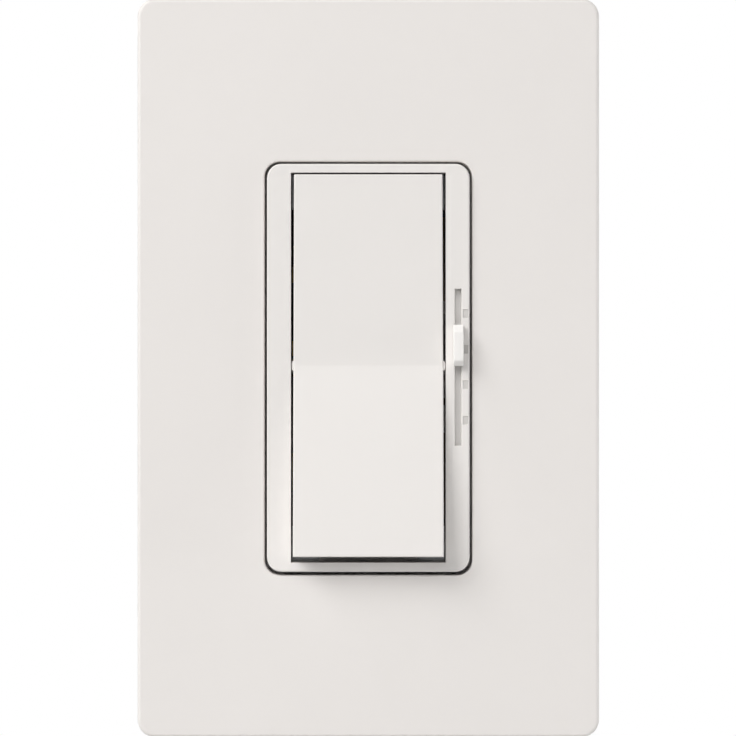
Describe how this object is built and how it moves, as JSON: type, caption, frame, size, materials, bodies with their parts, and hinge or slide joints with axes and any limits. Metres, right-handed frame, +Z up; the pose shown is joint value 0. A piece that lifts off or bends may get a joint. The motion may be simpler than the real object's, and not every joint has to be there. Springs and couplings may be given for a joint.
{
  "type": "fan control switch",
  "caption": "White fan control: a paddle switch beside a thin speed slide, in a screwless wall plate over a wall-box device.",
  "frame": {"origin": "middle of the wall plate on the wall's plane, halfway between the two box screws", "axes": "+Z up along the plate, +X to the viewer's right, +Y into the wall"},
  "size_m": [0.0746, 0.0439, 0.119],
  "materials": {
    "plate_plastic": "satin",
    "device_plastic": "satin",
    "adapter_plastic": "matte",
    "inner_plastic": "matte",
    "base_plastic": "matte",
    "housing_plastic": "matte",
    "strap_steel": "zinc plated",
    "screw_steel": "zinc plated",
    "spring_steel": "bright",
    "ground_green": "green dyed",
    "terminal_brass": "bright",
    "contact_brass": "rolled",
    "contact_silver": "silver plated",
    "board_laminate": "laminate",
    "capacitor_case": "moulded box",
    "resistor_body": "matte",
    "fibre_sheet": "pressed fibre"
  },
  "bodies": {
    "control_body": {"wallplate_cover": "plate_plastic", "plate_adapter": "adapter_plastic", "adapter_screws": "screw_steel", "front_bezel": "device_plastic", "fulcrum_bracket": "contact_brass", "traveller_terminal_upper": "contact_brass", "traveller_terminal_lower": "contact_brass", "fixed_contacts": "contact_silver", "load_terminal": "contact_brass", "terminal_screws": "terminal_brass", "clamp_plates": "screw_steel", "switch_base": "base_plastic", "speed_board": "board_laminate", "speed_contacts": "contact_silver", "capacitor_large": "capacitor_case", "capacitor_small": "capacitor_case", "bleed_resistors": "resistor_body", "insulating_sheet": "fibre_sheet", "yoke": "strap_steel", "ground_screw": "ground_green", "back_housing": "housing_plastic", "housing_screws": "screw_steel", "box_screws": "screw_steel", "screw_retainers": "fibre_sheet"},
    "paddle_body": {"paddle": "device_plastic", "plunger": "inner_plastic", "plunger_spring": "spring_steel"},
    "rocker_body": {"contact_rocker": "contact_brass", "moving_contacts": "contact_silver"},
    "slider_body": {"slider_knob": "device_plastic", "slider_carriage": "device_plastic", "wiper_contact": "contact_brass", "detent_spring": "spring_steel"}
  },
  "joints": [
    {"name": "paddle_hinge", "type": "hinge", "parent": "control_body", "child": "paddle_body", "pos_m": [0, -0.004, 0.00007], "axis": [1, 0, 0], "range_deg": [0, 8.4]},
    {"name": "rocker_hinge", "type": "hinge", "parent": "control_body", "child": "rocker_body", "pos_m": [0, 0.011, 0.00007], "axis": [1, 0, 0], "range_deg": [-10, 0]},
    {"name": "speed_slide", "type": "slide", "parent": "control_body", "child": "slider_body", "axis": [0, 0, 1], "range_m": [-0.01286, 0.00588]}
  ],
  "couplings": [
    {"joint": "rocker_hinge", "follows": "paddle_hinge", "ratio": -1.1905}
  ]
}
